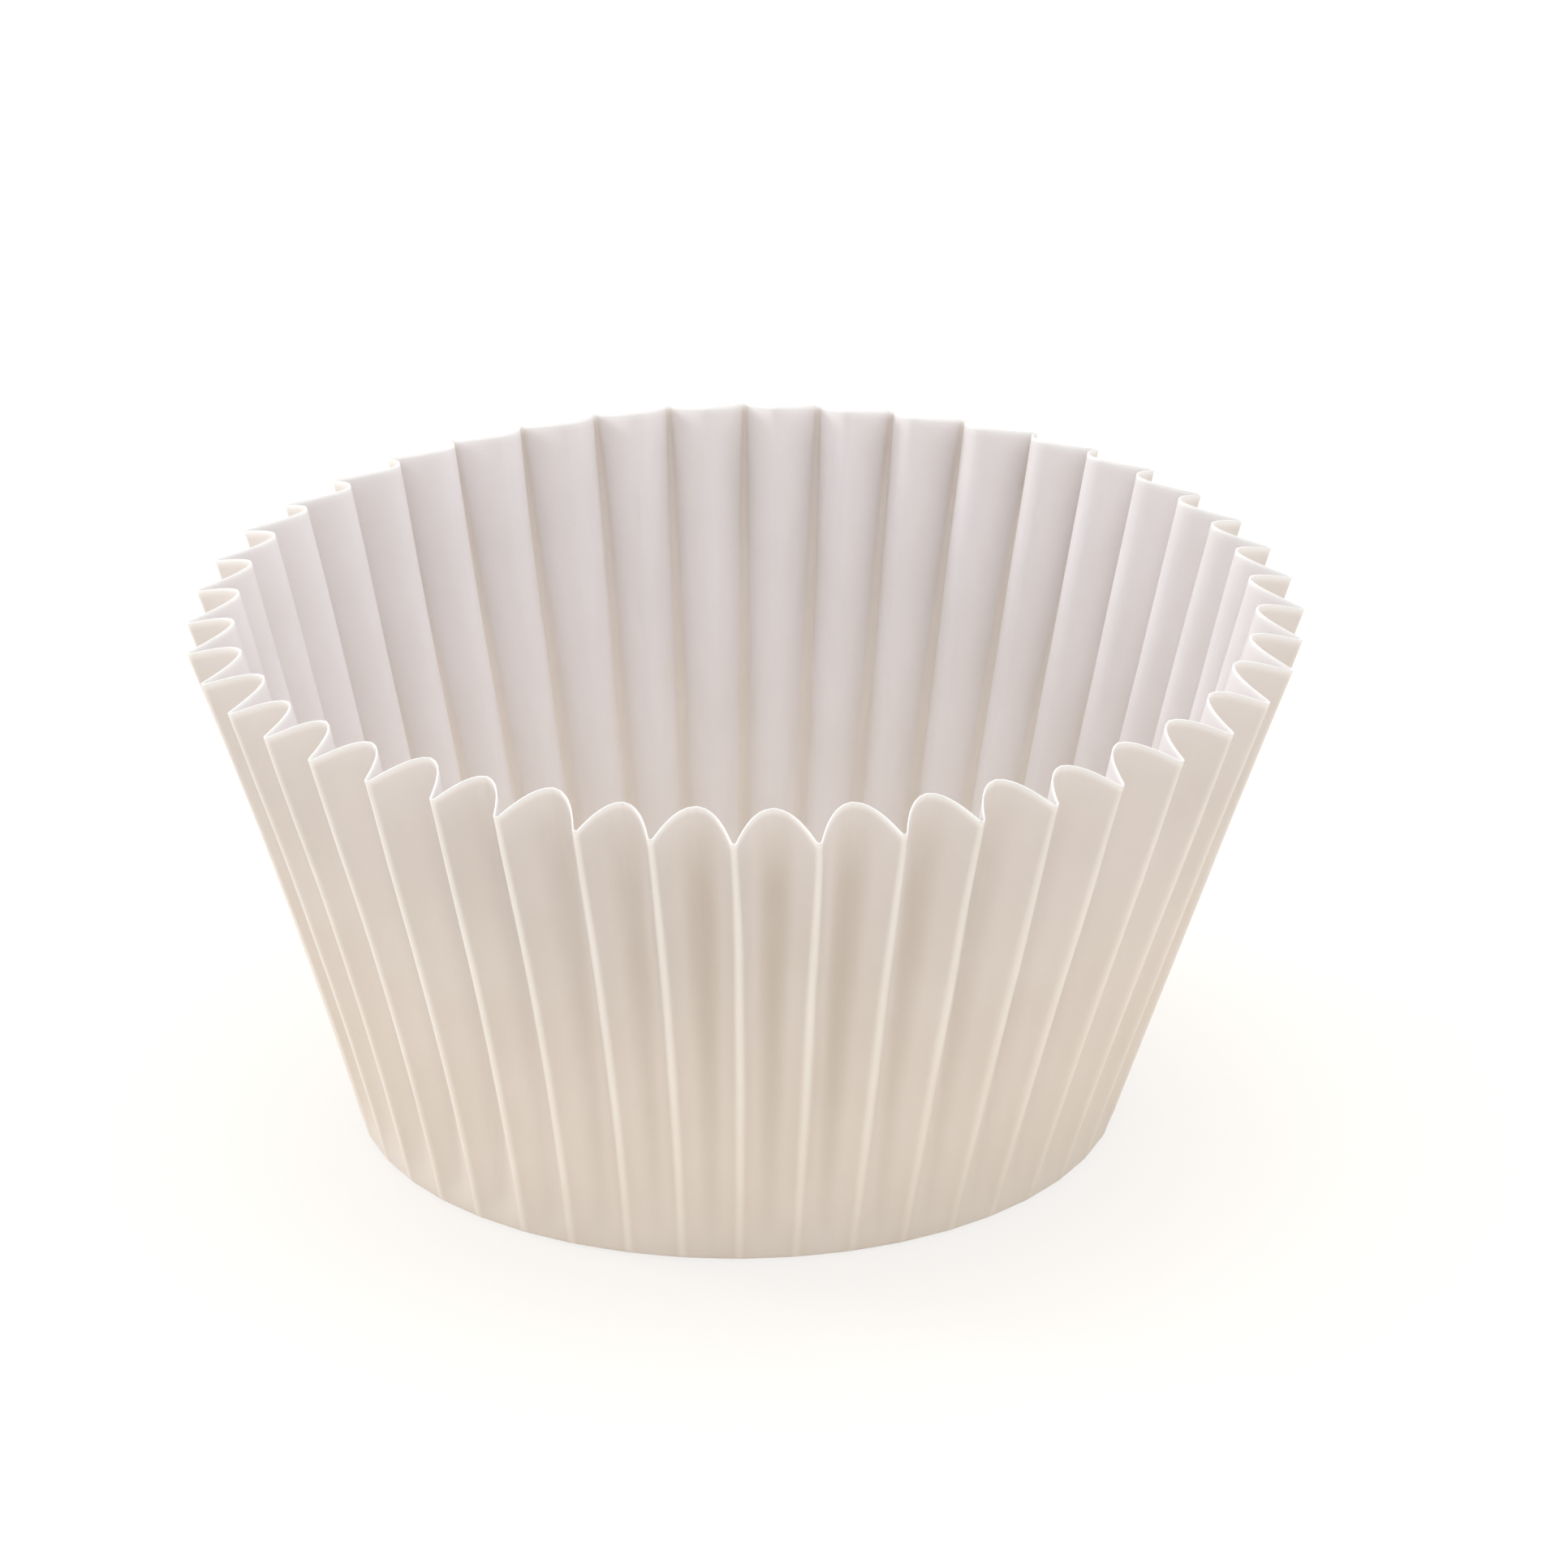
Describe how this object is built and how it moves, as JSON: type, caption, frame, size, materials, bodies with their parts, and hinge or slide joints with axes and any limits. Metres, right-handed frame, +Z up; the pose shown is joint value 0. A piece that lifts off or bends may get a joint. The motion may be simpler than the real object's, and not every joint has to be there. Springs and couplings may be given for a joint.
{
  "type": "cupcake liner",
  "caption": "Open round paper cup with a flat floor and a fluted, outward-leaning wall, pressed from one round sheet to hold a cupcake while it bakes.",
  "frame": {"origin": "middle of the flat underside, on the surface that the liner stands on", "axes": "+Z straight up through the open top; a crease of the wall lies over each of +X, +Y, -X and -Y"},
  "size_m": [0.0756, 0.0756, 0.0373],
  "materials": {
    "paper": "smooth semi-gloss white baking paper, slightly translucent, a little lighter along creases and cut edge"
  },
  "bodies": {
    "root": {"liner": "paper"}
  },
  "joints": []
}
